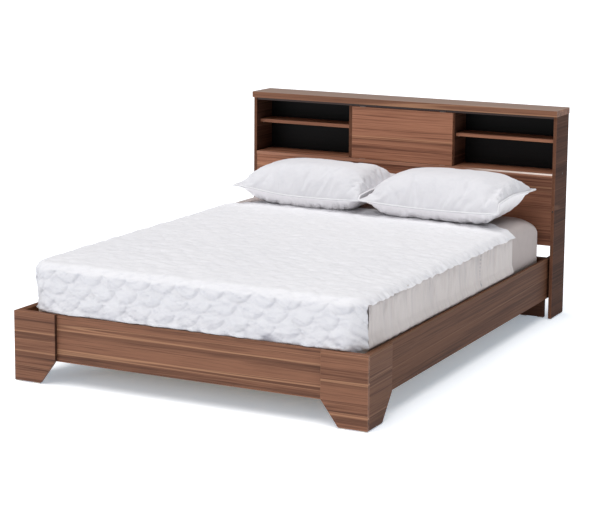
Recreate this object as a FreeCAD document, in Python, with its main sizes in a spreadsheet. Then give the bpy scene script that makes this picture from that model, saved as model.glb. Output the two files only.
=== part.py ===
import FreeCAD, Part
import os
import Sketcher
from FreeCAD import Placement, Rotation, Vector

# Storage bed: a low panel bed whose headboard is an open shelf unit with a sliding door.
# X runs across the bed, Y from the foot to the head, Z up. The origin is on the floor,
# in the middle of the footprint.

# Driving sizes in millimetres

SIZES = (
    ("board", 16, "thickness of the laminated boards"),
    ("edge_break", 0.8, "small chamfer round the boards"),
    ("mattress_width", 1518, "mattress, which the frame is built round"),
    ("mattress_length", 2028, "mattress, which the frame is built round"),
    ("mattress_side_gap", 12, "mattress from each side rail"),
    ("mattress_foot_gap", 5, "mattress from the foot rail"),
    ("mattress_head_gap", 10, "mattress from the headboard's face"),
    ("rail_bottom", 100, "underside of the rails"),
    ("rail_height", 197, "height of the rail boards"),
    ("rail_overlap", 100, "rails run on this far between the headboard's sides"),
    ("leg_width", 200, "leg board, at the rail"),
    ("leg_foot_width", 124, "leg board, on the floor"),
    ("taper_top", 106, "height where the leg boards start to narrow"),
    ("side_leg_width", 223, "leg seen from the side, at the rail"),
    ("side_leg_foot_width", 137, "leg seen from the side, on the floor"),
    ("glide_height", 4, "nail-on glide under each standing board"),
    ("glide_length", 30, "glide along its board"),
    ("glide_width", 12, "glide across its board"),
    ("glide_inset", 4, "glide from the end of its board"),
    ("headboard_gap", 10, "between a side rail and the headboard's side"),
    ("headboard_height", 1012, "floor to the top of the cap"),
    ("headboard_depth", 176, "depth of the headboard's sides"),
    ("cap_thickness", 30, "thick top board of the headboard"),
    ("cap_front", 14, "overhang of the cap at the front"),
    ("cap_side", 3, "overhang of the cap at each side"),
    ("bay_height", 275, "clear height of the compartments"),
    ("panel_bottom", 359, "lower edge of the front panel"),
    ("panel_recess", 2, "front panel behind the shelf's front edge"),
    ("mid_shelf_rise", 161, "top of the small shelves above the floor of their bay"),
    ("mid_shelf_setback", 37, "small shelves behind the headboard's face"),
    ("mid_shelf_play", 0.5, "play at each end of a small shelf"),
    ("back_recess", 6, "back panel in from the rear edges"),
    ("back_thickness", 5, "thin back panel"),
    ("pin_width", 5, "diameter of a shelf pin"),
    ("pin_length", 16, "whole length of a shelf pin"),
    ("pin_hole_depth", 8, "depth of a pin's hole"),
    ("pin_inset", 28, "pins from the front and rear edges of their shelf"),
    ("hole_play", 0.3, "play round a pin, screw or fitting, on the radius"),
    ("door_width", 540, "sliding door"),
    ("door_lap", 1, "centred door past each divider's inner face"),
    ("door_offset", 10, "door stands this far right of the middle"),
    ("door_recess", 1.5, "door behind the headboard's face"),
    ("door_top_gap", 14, "door below the cap"),
    ("door_bottom_gap", 2, "door above the shelf"),
    ("door_clearance", 2.5, "dividers behind the door"),
    ("door_end_gap", 1, "track's end from the headboard's side"),
    ("upper_track_width", 12, "upper door track"),
    ("upper_track_height", 12, "upper door track"),
    ("upper_slot", 6, "slot in the upper track"),
    ("lower_track_width", 8, "lower door track, let into the shelf"),
    ("lower_track_height", 8, "lower door track"),
    ("lower_slot", 5, "slot in the lower track"),
    ("track_web", 1.5, "floor of each track's slot"),
    ("shoe_length", 30, "nylon shoe in the door's edge"),
    ("shoe_width", 10, "nylon shoe"),
    ("shoe_seat", 12, "depth of a shoe's seat in the door"),
    ("shoe_inset", 40, "shoe from the door's end"),
    ("guide_reach", 8, "upper guide's blade inside its slot"),
    ("running_gap", 0.3, "between sliding faces"),
    ("screw_head", 10, "hexagonal head of a coach screw, across its corners"),
    ("screw_head_height", 3, "hexagonal head of a coach screw"),
    ("screw_shank", 5, "diameter of a coach screw"),
    ("screw_grip", 10, "screw inside the second board"),
    ("screw_low", 140, "height of the lower screw of each leg board"),
    ("screw_high", 200, "height of the upper screw of each leg board"),
    ("screw_margin", 80, "screws from the inner edge of their leg board"),
    ("shelf_screw_shank", 6, "screw through the headboard's side into the shelf"),
    ("shelf_screw_head", 10, "its head, flush in the side"),
    ("shelf_screw_head_height", 4, "its head"),
    ("shelf_screw_grip", 34, "its length inside the shelf"),
    ("shelf_screw_setback", 104, "its place behind the headboard's face"),
    ("bolt_head", 15, "hexagonal head of a headboard bolt, across its corners"),
    ("bolt_head_height", 4, "its head"),
    ("bolt_shank", 8, "diameter of a headboard bolt"),
    ("bolt_grip", 11, "bolt inside the headboard's side"),
    ("bolt_setback", 66, "bolts behind the headboard's face"),
    ("bolt_margin", 50, "bolts from the rail's upper and lower edges"),
    ("spacer_setback", 30, "spacer behind the headboard's face"),
    ("block", 40, "square corner block"),
    ("block_bottom", 112, "underside of the corner blocks"),
    ("cleat_width", 30, "cleat that carries the slats"),
    ("cleat_height", 30, "cleat that carries the slats"),
    ("slat_top", 270, "upper face of the slats"),
    ("slat_thickness", 18, "slat"),
    ("slat_width", 100, "slat"),
    ("slat_play", 1, "slat's end from the rail"),
    ("slat_end_gap", 12, "first and last slat from the end boards"),
    ("beam_width", 40, "centre beam"),
    ("beam_height", 90, "centre beam"),
    ("hanger_plate", 3, "steel of the beam's hangers"),
    ("hanger_depth", 45, "hanger along the beam"),
    ("hanger_height", 60, "hanger beside the beam"),
    ("post", 40, "square centre leg"),
    ("mattress_edge", 492, "height of the mattress's upper edge"),
    ("mattress_crown", 16, "rise of the mattress's middle over its edge"),
    ("mattress_corner", 80, "corner radius of the mattress"),
    ("mattress_draw", 7, "mattress's sides drawn in at the border seams"),
    ("mattress_shoulder", 22, "rounding of the mattress's upper and lower edges"),
    ("soft_gap", 0.3, "between soft pieces and what they lie on"),
    ("cover_gap", 0.5, "between the quilted cover and the mattress"),
    ("cover_thickness", 4, "quilted cover"),
    ("cover_head", 330, "cover's upper end from the headboard's face"),
    ("cover_hem", 22, "cover's hem below the top of the rails"),
    ("cover_slit", 3, "open corner of the cover at the foot"),
    ("cover_slit_setback", 52, "open corner behind the cover's foot end"),
    ("pillow_seam", 8, "thickness of a pillow's seamed border"),
    ("pillow_top", 102, "pillow's crown over its seams"),
    ("pillow_bottom", 98, "pillow's belly under its seams"),
    ("left_pillow_width", 698, "left pillow, between its ends"),
    ("left_pillow_depth", 404, "left pillow, pushed up against the headboard"),
    ("left_pillow_spread", 356, "left pillow's middle from the bed's middle"),
    ("left_pillow_setback", 228, "left pillow's middle from the headboard's face"),
    ("right_pillow_width", 706, "right pillow, between its ends"),
    ("right_pillow_depth", 446, "right pillow, front seam to rear seam"),
    ("right_pillow_spread", 365, "right pillow's middle from the bed's middle"),
    ("right_pillow_setback", 252, "right pillow's middle from the headboard's face"),
)

# Plain counts, angles and shares

SLAT_COUNT = 12
POST_SHARES = (0.25, 0.5, 0.75)
PILLOW_TILT = 4.5
PILLOW_TURNS = {"left": -4.2, "right": -2.8}
SETTLING_STEPS = 4
SIDES = (("left", -1), ("right", 1))

# Share of the pillow's half width where a cross-section stands
PILLOW_STATION_SHARES = (0.45, 0.72, 0.9, 1)
# Depth and thickness of the pillow at those sections, as shares of the greatest
PILLOW_DEPTH_SHARES = (0.935, 0.95, 0.975, 1)
PILLOW_RISE_SHARES = (1, 0.86, 0.5, 0.03)
# The belly's flat middle, as a share of the half depth
BELLY_FLAT_SHARE = 0.5

# Mattress sections from the bottom to the crown. Height shares run over the side, inset
# shares over the shoulder; draw shares over the drawn-in depth of the side.
SIDE_HEIGHT_SHARES = (0, 0.12, 0.5, 0.86, 0.96, 1)
SIDE_INSET_SHARES = (0.8, 0, 0, 0, 0.3, 1)
SIDE_DRAW_SHARES = (0, 0, 1, 0, 0, 0)
# The crown above the side: share of the rise, and share of the half width drawn in
CROWN_RISE_SHARES = (1,)
CROWN_INSET_SHARES = (0.42,)


class Length:
    """A length and the spreadsheet expression that gives it."""

    def __init__(self, value, text):
        self.value = float(value)
        self.text = text

    @staticmethod
    def of(other):
        return other if isinstance(other, Length) else Length(other, str(other))

    def join(self, sign, other, value):
        return Length(value, f"({self.text} {sign} {other.text})")

    def __add__(self, other):
        other = Length.of(other)
        return self.join("+", other, self.value + other.value)

    def __sub__(self, other):
        other = Length.of(other)
        return self.join("-", other, self.value - other.value)

    def __mul__(self, other):
        other = Length.of(other)
        return self.join("*", other, self.value * other.value)

    def __truediv__(self, other):
        other = Length.of(other)
        return self.join("/", other, self.value / other.value)

    def __neg__(self):
        return Length(0, "0") - self


class Sizes:
    """The driving sizes by name, as the spreadsheet holds them."""


ZERO = Length(0, "0")

doc = FreeCAD.newDocument("StorageBed")
sheet = doc.addObject("Spreadsheet::Sheet", "Sizes")
for row, (name, value, note) in enumerate(SIZES, start=1):
    sheet.set(f"A{row}", name)
    sheet.set(f"B{row}", str(value))
    sheet.setAlias(f"B{row}", name)
    sheet.set(f"C{row}", note)
doc.recompute()
size = Sizes()
for name, value, note in SIZES:
    setattr(size, name, Length(sheet.get(name), f"Sizes.{name}"))

# Places that several pieces share

frame_half = size.mattress_width / 2 + size.mattress_side_gap + size.board * 2
frame_length = (size.mattress_length + size.mattress_head_gap + size.mattress_foot_gap
                + size.board * 2)
foot_face = (frame_length + size.headboard_depth) / -2
foot_inner = foot_face + size.board * 2
head_face = foot_face + frame_length
head_back = head_face + size.headboard_depth
rail_top = size.rail_bottom + size.rail_height
rail_end = head_face + size.rail_overlap
rail_outer = frame_half - size.board
rail_inner = rail_outer - size.board
panel_inner = rail_outer + size.headboard_gap
panel_outer = panel_inner + size.board
cap_under = size.headboard_height - size.cap_thickness
back_face = head_back - size.back_recess - size.back_thickness
divider_face = head_face + size.door_recess + size.board + size.door_clearance
divider_inner = size.door_width / 2 - size.door_lap
divider_outer = divider_inner + size.board
shelf_top = cap_under - size.bay_height
shelf_under = shelf_top - size.board
mid_shelf_under = shelf_top + size.mid_shelf_rise - size.board
mid_shelf_face = head_face + size.mid_shelf_setback
door_face = head_face + size.door_recess
door_middle = door_face + size.board / 2
door_left = size.door_offset - size.door_width / 2
door_right = size.door_offset + size.door_width / 2
door_bottom = shelf_top + size.door_bottom_gap
door_top = cap_under - size.door_top_gap
slat_under = size.slat_top - size.slat_thickness
beam_under = slat_under - size.beam_height
cleat_under = slat_under - size.cleat_height


# Helpers that build bound objects

def bind(target, path, length):
    """Tie one property of an object to the spreadsheet."""
    target.setExpression(path, Length.of(length).text)


def place(target, corner):
    """Bind the three coordinates of an object's place."""
    for axis, coordinate in zip("xyz", corner):
        bind(target, f"Placement.Base.{axis}", coordinate)


def low_side(side, inner, outer):
    """Lower X of a piece that spans inner to outer on one side of the bed."""
    return inner if side > 0 else -outer


def new_body(label, corner):
    body = doc.addObject("PartDesign::Body", label)
    body.Label = label
    place(body, corner)
    return body


def new_sketch(body, name, role, level=ZERO):
    """A sketch on an origin plane of the body, moved along the plane's axis to a level."""
    sketch = body.newObject("Sketcher::SketchObject", name)
    plane = next(item for item in body.Origin.OriginFeatures if item.Role == role)
    sketch.AttachmentSupport = (plane, [""])
    sketch.MapMode = "FlatFace"
    # The XZ plane faces against Y, so its levels change sign.
    bind(sketch, "AttachmentOffset.Base.z", -level if role == "XZ_Plane" else level)
    return sketch


def pin_point(sketch, name, geometry, point, across, up):
    """Fix one point of a sketch at bound distances from the sketch's origin."""
    for kind, axis, length in (("DistanceX", "across", across), ("DistanceY", "up", up)):
        length = Length.of(length)
        constraint = Sketcher.Constraint(kind, -1, 1, geometry, point, length.value)
        index = sketch.addConstraint(constraint)
        label = f"{name}_{axis}"
        sketch.renameConstraint(index, label)
        bind(sketch, f"Constraints.{label}", length)


def polygon(sketch, corners):
    """A closed outline through the corners, each one bound to the sizes."""
    points = [Vector(Length.of(x).value, Length.of(y).value, 0) for x, y in corners]
    for index, start in enumerate(points):
        end = points[(index + 1) % len(points)]
        sketch.addGeometry(Part.LineSegment(start, end))
    for index in range(len(points)):
        following = (index + 1) % len(points)
        sketch.addConstraint(Sketcher.Constraint("Coincident", index, 2, following, 1))
    for index, (x, y) in enumerate(corners):
        pin_point(sketch, f"corner_{index}", index, 1, x, y)


def rectangle(sketch, width, height, x=ZERO, y=ZERO):
    polygon(sketch, ((x, y), (x + width, y), (x + width, y + height), (x, y + height)))


def pad(body, sketch, length):
    """Thicken an outline towards the positive end of the axis that it faces along."""
    feature = body.newObject("PartDesign::Pad", "Thickness")
    feature.Profile = sketch
    feature.Reversed = sketch.AttachmentSupport[0][0].Role == "XZ_Plane"
    bind(feature, "Length", length)
    doc.recompute()
    return feature


def cut(body, name, sketch, depth, towards):
    """Sink an outline into the body, towards the positive or negative end of its axis."""
    feature = body.newObject("PartDesign::Pocket", name)
    feature.Profile = sketch
    against = sketch.AttachmentSupport[0][0].Role == "XZ_Plane"
    feature.Reversed = (towards > 0) != against
    bind(feature, "Length", depth)
    return feature


def drill(body, name, role, level, centres, diameter, depth, towards):
    """Round holes of one size from a level of the body, towards one end of the axis."""
    sketch = new_sketch(body, f"{name}Outline", role, level)
    for index, (x, y) in enumerate(centres):
        centre = Vector(Length.of(x).value, Length.of(y).value, 0)
        sketch.addGeometry(Part.Circle(centre, Vector(0, 0, 1), diameter.value / 2))
        pin_point(sketch, f"hole_{index}", index, 3, x, y)
        if index:
            sketch.addConstraint(Sketcher.Constraint("Equal", 0, index))
    first = sketch.addConstraint(Sketcher.Constraint("Diameter", 0, diameter.value))
    sketch.renameConstraint(first, "hole_width")
    bind(sketch, "Constraints.hole_width", diameter)
    return cut(body, name, sketch, depth, towards)


def break_edges(body, feature):
    """Take the sharpness off every edge of a board."""
    chamfer = body.newObject("PartDesign::Chamfer", "EdgeBreak")
    chamfer.Base = (feature, [f"Edge{n + 1}" for n in range(len(feature.Shape.Edges))])
    bind(chamfer, "Size", size.edge_break)
    return chamfer


def board(label, corner, width, depth, height, sharp=False):
    """A rectangular board: X, Y and Z sizes from its low corner."""
    body = new_body(label, corner)
    sketch = new_sketch(body, "Outline", "XY_Plane")
    rectangle(sketch, width, depth)
    feature = pad(body, sketch, height)
    if not sharp:
        break_edges(body, feature)
    return body


def profile_board(label, corner, role, corners, thickness, sharp=False):
    """A board or bar with a shaped outline in an upright plane."""
    body = new_body(label, corner)
    sketch = new_sketch(body, "Outline", role)
    polygon(sketch, corners)
    feature = pad(body, sketch, thickness)
    if not sharp:
        break_edges(body, feature)
    return body


def solid_box(name, corner, width, depth, height):
    box = doc.addObject("Part::Box", name)
    bind(box, "Length", width)
    bind(box, "Width", depth)
    bind(box, "Height", height)
    place(box, corner)
    return box


AXIS_TURNS = {"x": Rotation(Vector(0, 0, 1), Vector(1, 0, 0)),
              "y": Rotation(Vector(0, 0, 1), Vector(0, 1, 0))}


def rod(name, start, axis, diameter, length):
    """A round rod from a start point along one axis, given as 'x' or 'y'."""
    cylinder = doc.addObject("Part::Cylinder", name)
    cylinder.Placement = Placement(Vector(), AXIS_TURNS[axis])
    bind(cylinder, "Radius", diameter / 2)
    bind(cylinder, "Height", length)
    place(cylinder, start)
    return cylinder


def hexagon(name, start, axis, across_corners, length):
    """A hexagonal bar from a start point along one axis."""
    bar = doc.addObject("Part::Prism", name)
    bar.Polygon = 6
    bar.Placement = Placement(Vector(), AXIS_TURNS[axis])
    bind(bar, "Circumradius", across_corners / 2)
    bind(bar, "Height", length)
    place(bar, start)
    return bar


def joined(name, pieces):
    fuse = doc.addObject("Part::MultiFuse", name)
    fuse.Shapes = pieces
    return fuse


def group(label, pieces):
    """Identical loose solids that share one node."""
    compound = doc.addObject("Part::Compound", label)
    compound.Label = label
    compound.Links = pieces
    return compound


def screw(name, start, axis, towards, head, head_height, shank, length, form=hexagon):
    """A screw whose head lies against `start` and whose shank points along the axis."""
    index = "xy".index(axis)
    head_start = list(start)
    shank_start = list(start)
    if towards > 0:
        head_start[index] = start[index] - head_height
    else:
        shank_start[index] = start[index] - length
    pieces = [form(f"{name}Head", head_start, axis, head, head_height),
              rod(f"{name}Shank", shank_start, axis, shank, length)]
    return joined(name, pieces)


# Headboard

# Places of fittings, from the headboard's face and the floor
PIN_DEPTHS = (mid_shelf_face + size.pin_inset, back_face - size.pin_inset)
BOLT_HEIGHTS = (size.rail_bottom + size.bolt_margin, rail_top - size.bolt_margin)
pin_level = mid_shelf_under - size.hole_play - size.pin_width / 2
pin_hole = size.pin_width + size.hole_play * 2
screw_hole = size.screw_shank + size.hole_play * 2
bolt_hole = size.bolt_shank + size.hole_play * 2
shelf_screw_level = shelf_top - size.board / 2
shelf_screw_depth = head_face + size.shelf_screw_setback


def headboard_cap():
    reach = panel_outer + size.cap_side
    front = head_face - size.cap_front
    board("headboard_cap", (-reach, front, cap_under), reach * 2, head_back - front,
          size.cap_thickness)


def headboard_sides():
    """Full-height sides, drilled on their inner faces for all that they carry."""
    for word, side in SIDES:
        low = low_side(side, panel_inner, panel_outer)
        body = board(f"headboard_side_{word}", (low, head_face, size.glide_height),
                     size.board, size.headboard_depth, cap_under - size.glide_height)
        inner = ZERO if side > 0 else size.board

        def spot(depth, level):
            return depth - head_face, level - size.glide_height

        drill(body, "PinHoles", "YZ_Plane", inner,
              [spot(depth, pin_level) for depth in PIN_DEPTHS],
              pin_hole, size.pin_hole_depth, side)
        drill(body, "BoltHoles", "YZ_Plane", inner,
              [spot(head_face + size.bolt_setback, level) for level in BOLT_HEIGHTS],
              bolt_hole, size.bolt_grip + size.hole_play, side)
        screw_spot = [spot(shelf_screw_depth, shelf_screw_level)]
        drill(body, "ShelfScrewHole", "YZ_Plane", inner, screw_spot,
              size.shelf_screw_shank + size.hole_play * 2, size.board, side)
        outer = size.board if side > 0 else ZERO
        drill(body, "ShelfScrewSeat", "YZ_Plane", outer, screw_spot,
              size.shelf_screw_head + size.hole_play * 2, size.shelf_screw_head_height,
              -side)


def bottom_shelf():
    """Floor of the compartments, grooved along its front for the lower door track."""
    depth = head_back - size.back_recess - head_face
    body = board("bottom_shelf", (-panel_inner, head_face, shelf_under),
                 panel_inner * 2, depth, size.board)
    groove = new_sketch(body, "GrooveOutline", "YZ_Plane")
    rectangle(groove, size.lower_track_width, size.lower_track_height,
              door_middle - head_face - size.lower_track_width / 2,
              size.board - size.lower_track_height)
    cut(body, "TrackGroove", groove, panel_inner * 2, 1)
    level = size.board / 2
    for name, start, towards in (("ScrewHoleLeft", ZERO, 1),
                                 ("ScrewHoleRight", panel_inner * 2, -1)):
        drill(body, name, "YZ_Plane", start, [(shelf_screw_depth - head_face, level)],
              size.shelf_screw_shank + size.hole_play * 2,
              size.shelf_screw_grip + size.hole_play, towards)


def lower_front_panel():
    face = head_face + size.panel_recess
    board("lower_front_panel", (-panel_inner, face, size.panel_bottom),
          panel_inner * 2, size.board, shelf_under - size.panel_bottom)


def dividers():
    for word, side in SIDES:
        low = low_side(side, divider_inner, divider_outer)
        body = board(f"divider_{word}", (low, divider_face, shelf_top),
                     size.board, back_face - divider_face, cap_under - shelf_top)
        outer = size.board if side > 0 else ZERO
        pins = [(depth - divider_face, pin_level - shelf_top) for depth in PIN_DEPTHS]
        drill(body, "PinHoles", "YZ_Plane", outer, pins, pin_hole, size.pin_hole_depth,
              -side)


def mid_shelves():
    inner = divider_outer + size.mid_shelf_play
    outer = panel_inner - size.mid_shelf_play
    for word, side in SIDES:
        board(f"mid_shelf_{word}", (low_side(side, inner, outer), mid_shelf_face,
                                    mid_shelf_under),
              outer - inner, back_face - mid_shelf_face, size.board)


def back_panel():
    board("back_panel", (-panel_inner, back_face, shelf_top), panel_inner * 2,
          size.back_thickness, cap_under - shelf_top, sharp=True)


def shelf_pins():
    """Four pins under each small shelf, in the divider and in the headboard's side."""
    free = size.pin_length - size.pin_hole_depth
    pins = []
    for word, side in SIDES:
        for row, depth in enumerate(PIN_DEPTHS):
            ends = (("Divider", divider_outer - size.pin_hole_depth, divider_outer + free),
                    ("Side", panel_inner - free, panel_inner + size.pin_hole_depth))
            for end, near, far in ends:
                start = (low_side(side, near, far), depth, pin_level)
                pins.append(rod(f"Pin{word}{end}{row}", start, "x", size.pin_width,
                                far - near))
    group("shelf_pins", pins)


def shelf_screws():
    """One long screw each side, its flat head flush in the headboard's side."""
    screws = []
    seat = panel_outer - size.shelf_screw_head_height
    reach = seat - panel_inner + size.shelf_screw_grip
    for word, side in SIDES:
        start = (seat * side, shelf_screw_depth, shelf_screw_level)
        screws.append(screw(f"ShelfScrew{word}", start, "x", -side,
                            size.shelf_screw_head, size.shelf_screw_head_height,
                            size.shelf_screw_shank, reach, form=rod))
    group("shelf_screws", screws)


# Sliding door and its tracks

def door_track(label, middle, low, width, height, slot, opens_up):
    """A straight channel, open along its upper or lower side."""
    wall = (width - slot) / 2
    near, far = (size.track_web, height) if opens_up else (height - size.track_web, ZERO)
    back = ZERO if opens_up else height
    corners = ((ZERO, back), (ZERO, far), (wall, far), (wall, near),
               (width - wall, near), (width - wall, far), (width, far), (width, back))
    length = (panel_inner - size.door_end_gap) * 2
    profile_board(label, (size.door_end_gap - panel_inner, middle - width / 2, low),
                  "YZ_Plane", corners, length, sharp=True)


def sliding_door():
    """The door panel, with a seat for a nylon shoe near each end of both long edges."""
    height = door_top - door_bottom
    body = board("sliding_door", (door_left, door_face, door_bottom), size.door_width,
                 size.board, height)
    near = size.shoe_inset
    far = size.door_width - size.shoe_inset - size.shoe_length
    front = (size.board - size.shoe_width) / 2
    for name, x in (("Left", near), ("Right", far)):
        for edge, level, towards in (("Top", height, -1), ("Bottom", ZERO, 1)):
            seat = new_sketch(body, f"{edge}{name}Outline", "XY_Plane", level)
            rectangle(seat, size.shoe_length, size.shoe_width, x, front)
            cut(body, f"{edge}{name}Seat", seat, size.shoe_seat, towards)


def door_shoes():
    """Nylon shoes in the door's edges: each has a blade that runs in a track."""
    starts = (door_left + size.shoe_inset, door_right - size.shoe_inset - size.shoe_length)
    slot_floor = shelf_top - size.lower_track_height + size.track_web
    slot_mouth = cap_under - size.upper_track_height
    lower_blade = size.lower_slot - size.running_gap * 2
    upper_blade = size.upper_slot - size.running_gap * 2
    kinds = (("door_bottom_glides", door_bottom, size.shoe_seat, lower_blade,
              slot_floor + size.running_gap, door_bottom),
             ("door_top_guides", door_top - size.shoe_seat, size.shoe_seat, upper_blade,
              door_top, slot_mouth + size.guide_reach))
    for label, seat, seat_height, blade, blade_low, blade_high in kinds:
        shoes = []
        for index, x in enumerate(starts):
            body = solid_box(f"{label}Body{index}",
                             (x, door_middle - size.shoe_width / 2, seat),
                             size.shoe_length, size.shoe_width, seat_height)
            tongue = solid_box(f"{label}Blade{index}",
                               (x, door_middle - blade / 2, blade_low),
                               size.shoe_length, blade, blade_high - blade_low)
            shoes.append(joined(f"{label}Shoe{index}", [body, tongue]))
        group(label, shoes)


# Bed frame

def leg_outline(side, outer, width, foot_width):
    """A leg board seen from the foot: straight outside, narrowing inside to the floor."""
    floor = size.glide_height
    taper = size.taper_top - floor
    top = rail_top - floor
    return ((outer * side, ZERO), ((outer - foot_width) * side, ZERO),
            ((outer - width) * side, taper), ((outer - width) * side, top),
            (outer * side, top))


# Screw places: across or along a leg board from its inner edge, and their heights
SCREW_HEIGHTS = (size.screw_low, size.screw_high)
foot_screw = frame_half - size.leg_width + size.screw_margin
head_screw = rail_inner - size.leg_width + size.screw_margin
side_screw = foot_face + size.side_leg_width - size.screw_margin


def foot_leg_fronts():
    for word, side in SIDES:
        body = profile_board(f"foot_leg_front_{word}",
                             (ZERO, foot_face, size.glide_height), "XZ_Plane",
                             leg_outline(side, frame_half, size.leg_width,
                                         size.leg_foot_width), size.board)
        spots = [(foot_screw * side, level - size.glide_height)
                 for level in SCREW_HEIGHTS]
        drill(body, "ScrewHoles", "XZ_Plane", size.board, spots, screw_hole,
              size.screw_grip + size.hole_play, -1)


def foot_leg_sides():
    floor = size.glide_height
    far = size.side_leg_width - size.board
    far_foot = size.side_leg_foot_width - size.board
    corners = ((ZERO, ZERO), (far_foot, ZERO), (far, size.taper_top - floor),
               (far, rail_top - floor), (ZERO, rail_top - floor))
    start = foot_face + size.board
    for word, side in SIDES:
        low = low_side(side, rail_outer, frame_half)
        body = profile_board(f"foot_leg_side_{word}", (low, start, floor), "YZ_Plane",
                             corners, size.board)
        inner = ZERO if side > 0 else size.board
        spots = [(side_screw - start, level - floor) for level in SCREW_HEIGHTS]
        drill(body, "ScrewHoles", "YZ_Plane", inner, spots, screw_hole,
              size.screw_grip + size.hole_play, side)


def foot_rail():
    body = board("foot_rail", (-rail_outer, foot_face + size.board, size.rail_bottom),
                 rail_outer * 2, size.board, size.rail_height)
    spots = [(rail_outer + foot_screw * side, level - size.rail_bottom)
             for word, side in SIDES for level in SCREW_HEIGHTS]
    drill(body, "ScrewHoles", "XZ_Plane", ZERO, spots, screw_hole, size.board, 1)


def side_rails():
    for word, side in SIDES:
        low = low_side(side, rail_inner, rail_outer)
        body = board(f"side_rail_{word}", (low, foot_inner, size.rail_bottom), size.board,
                     rail_end - foot_inner, size.rail_height)
        spots = [(side_screw - foot_inner, level - size.rail_bottom)
                 for level in SCREW_HEIGHTS]
        drill(body, "ScrewHoles", "YZ_Plane", ZERO, spots, screw_hole, size.board, 1)
        bolts = [(head_face + size.bolt_setback - foot_inner, level - size.rail_bottom)
                 for level in BOLT_HEIGHTS]
        drill(body, "BoltHoles", "YZ_Plane", ZERO, bolts, bolt_hole, size.board, 1)


def head_rail():
    body = board("head_rail", (-rail_inner, head_face, size.rail_bottom), rail_inner * 2,
                 size.board, size.rail_height)
    spots = [(rail_inner + head_screw * side, level - size.rail_bottom)
             for word, side in SIDES for level in SCREW_HEIGHTS]
    drill(body, "ScrewHoles", "XZ_Plane", ZERO, spots, screw_hole, size.board, 1)


def head_legs():
    for word, side in SIDES:
        body = profile_board(f"head_leg_{word}",
                             (ZERO, head_face + size.board, size.glide_height),
                             "XZ_Plane", leg_outline(side, rail_inner, size.leg_width,
                                                     size.leg_foot_width), size.board)
        spots = [(head_screw * side, level - size.glide_height)
                 for level in SCREW_HEIGHTS]
        drill(body, "ScrewHoles", "XZ_Plane", ZERO, spots, screw_hole,
              size.screw_grip + size.hole_play, 1)


def rail_spacers():
    """Boards that fill the gap between the rails' ends and the headboard's sides."""
    start = head_face + size.spacer_setback
    for word, side in SIDES:
        low = low_side(side, rail_outer, panel_inner)
        body = board(f"rail_spacer_{word}", (low, start, size.rail_bottom),
                     size.headboard_gap, rail_end - start, size.rail_height)
        spots = [(head_face + size.bolt_setback - start, level - size.rail_bottom)
                 for level in BOLT_HEIGHTS]
        drill(body, "BoltHoles", "YZ_Plane", ZERO, spots, bolt_hole, size.headboard_gap, 1)


def corner_blocks():
    for word, side in SIDES:
        low = low_side(side, rail_inner - size.block, rail_inner)
        board(f"corner_block_{word}", (low, foot_inner, size.block_bottom), size.block,
              size.block, cleat_under - size.block_bottom)


def side_cleats():
    for word, side in SIDES:
        low = low_side(side, rail_inner - size.cleat_width, rail_inner)
        board(f"side_cleat_{word}", (low, foot_inner, cleat_under), size.cleat_width,
              head_face - foot_inner, size.cleat_height)


def slats():
    reach = rail_inner - size.slat_play
    first = foot_inner + size.slat_end_gap
    last = head_face - size.slat_end_gap - size.slat_width
    for index in range(SLAT_COUNT):
        share = index / (SLAT_COUNT - 1)
        start = first + (last - first) * share
        board(f"slat_{index + 1:02d}", (-reach, start, slat_under), reach * 2,
              size.slat_width, size.slat_thickness)


beam_start = foot_inner + size.hanger_plate + size.soft_gap
beam_end = head_face - size.hanger_plate - size.soft_gap


def centre_beam():
    board("centre_beam", (size.beam_width / -2, beam_start, beam_under), size.beam_width,
          beam_end - beam_start, size.beam_height)


def beam_hangers():
    """Steel cups that hold the beam's ends on the foot rail and the head rail."""
    half = size.beam_width / 2 + size.running_gap
    outer = half + size.hanger_plate
    cups = []
    for name, start, hollow in (("Foot", foot_inner, foot_inner + size.hanger_plate),
                                ("Head", head_face - size.hanger_depth,
                                 head_face - size.hanger_depth - size.hanger_plate)):
        block = solid_box(f"{name}Cup", (-outer, start, beam_under - size.hanger_plate),
                          outer * 2, size.hanger_depth,
                          size.hanger_height + size.hanger_plate)
        inside = solid_box(f"{name}Inside", (-half, hollow, beam_under), half * 2,
                           size.hanger_depth, size.hanger_height + size.hanger_plate)
        cup = doc.addObject("Part::Cut", f"{name}Hanger")
        cup.Base = block
        cup.Tool = inside
        cups.append(cup)
    group("beam_hangers", cups)


def post_places():
    """Low Y of each centre leg."""
    return [beam_start + (beam_end - beam_start) * share - size.post / 2
            for share in POST_SHARES]


def centre_legs():
    for index, start in enumerate(post_places()):
        board(f"centre_leg_{index + 1}", (size.post / -2, start, size.glide_height),
              size.post, size.post, beam_under - size.glide_height)


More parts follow.
